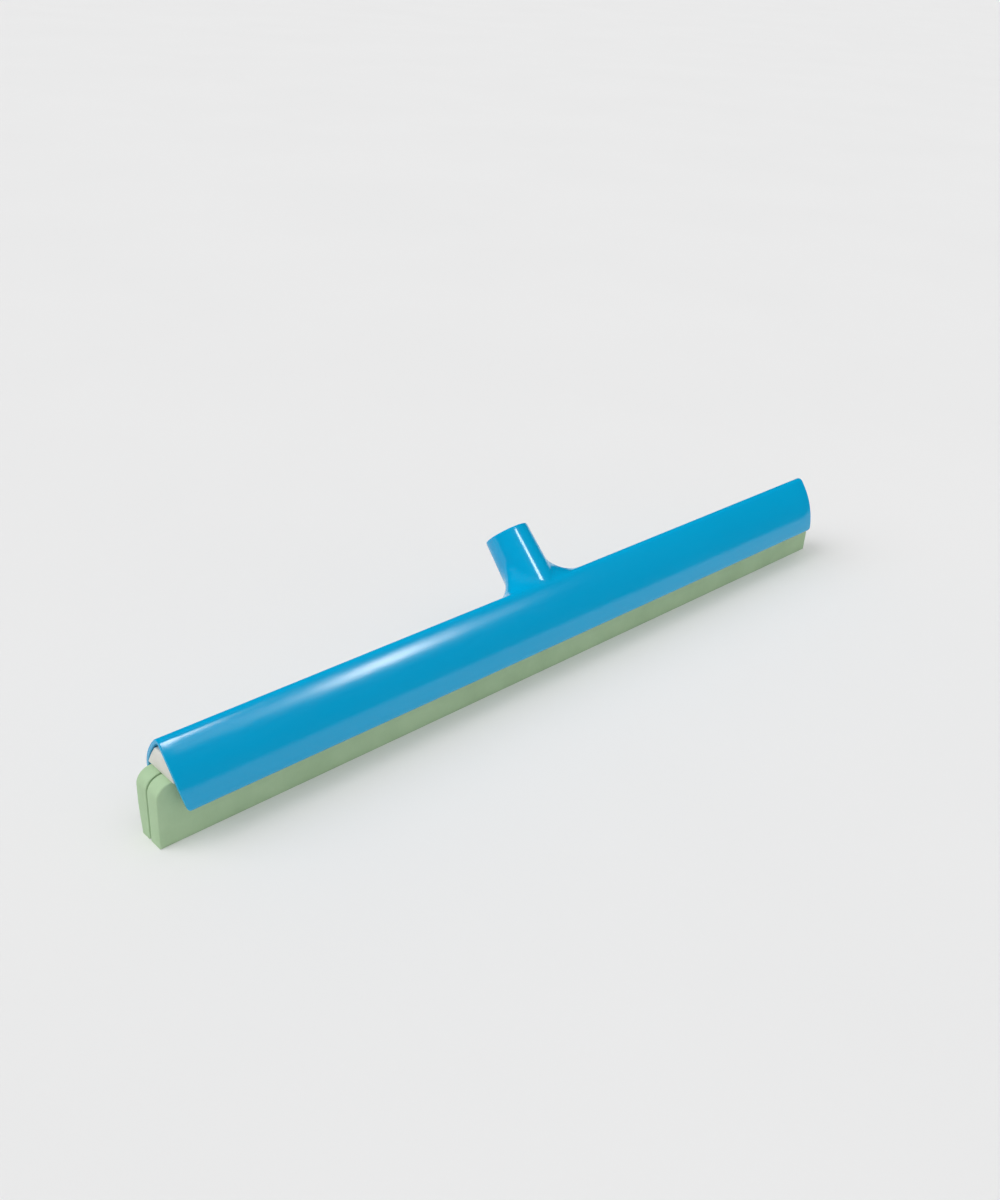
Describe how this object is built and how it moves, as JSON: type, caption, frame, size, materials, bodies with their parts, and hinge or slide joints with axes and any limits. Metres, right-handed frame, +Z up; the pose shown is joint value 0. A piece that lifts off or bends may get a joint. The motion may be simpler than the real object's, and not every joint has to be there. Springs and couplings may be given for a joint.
{
  "type": "floor squeegee head",
  "caption": "Floor squeegee head: arched plastic channel with an angled handle socket, and a slide-in cassette clamping two soft rubber blades.",
  "frame": {"origin": "on the floor, at the middle of the footprint of the whole head, socket included", "axes": "+X along the blades, towards the end with the cassette stop; +Y towards the back, where the handle socket leans; +Z up"},
  "size_m": [0.6, 0.0734, 0.0925],
  "materials": {
    "blue_plastic": "gloss moulded polypropylene",
    "white_plastic": "satin extruded plastic",
    "green_rubber": "matt closed-cell rubber with a fine skin"
  },
  "bodies": {
    "frame": {"squeegee_body": "blue_plastic"},
    "cassette": {"front_jaw": "white_plastic", "rear_jaw": "white_plastic", "separator_strip": "white_plastic", "left_end_cap": "white_plastic", "right_end_cap": "white_plastic", "clamp_pin_1": "white_plastic", "clamp_pin_2": "white_plastic", "clamp_pin_3": "white_plastic", "clamp_pin_4": "white_plastic", "clamp_pin_5": "white_plastic", "clamp_pin_6": "white_plastic", "clamp_pin_7": "white_plastic", "clamp_pin_8": "white_plastic", "clamp_pin_9": "white_plastic", "clamp_pin_10": "white_plastic", "clamp_pin_11": "white_plastic", "front_blade_root": "green_rubber", "rear_blade_root": "green_rubber"},
    "front_lip": {"front_blade_lip": "green_rubber"},
    "rear_lip": {"rear_blade_lip": "green_rubber"}
  },
  "joints": [
    {"name": "cassette_slide", "type": "slide", "parent": "frame", "child": "cassette", "axis": [-1, 0, 0], "range_m": [0, 0.6]},
    {"name": "front_blade_bend", "type": "hinge", "parent": "cassette", "child": "front_lip", "pos_m": [0, -0.02174, 0.036], "axis": [1, 0, 0], "range_deg": [-18, 18], "stiffness_Nm_per_rad": 1.6},
    {"name": "rear_blade_bend", "type": "hinge", "parent": "cassette", "child": "rear_lip", "pos_m": [0, -0.01054, 0.036], "axis": [1, 0, 0], "range_deg": [-18, 18], "stiffness_Nm_per_rad": 1.6}
  ],
  "couplings": [
    {"joint": "rear_blade_bend", "follows": "front_blade_bend", "ratio": 1}
  ]
}
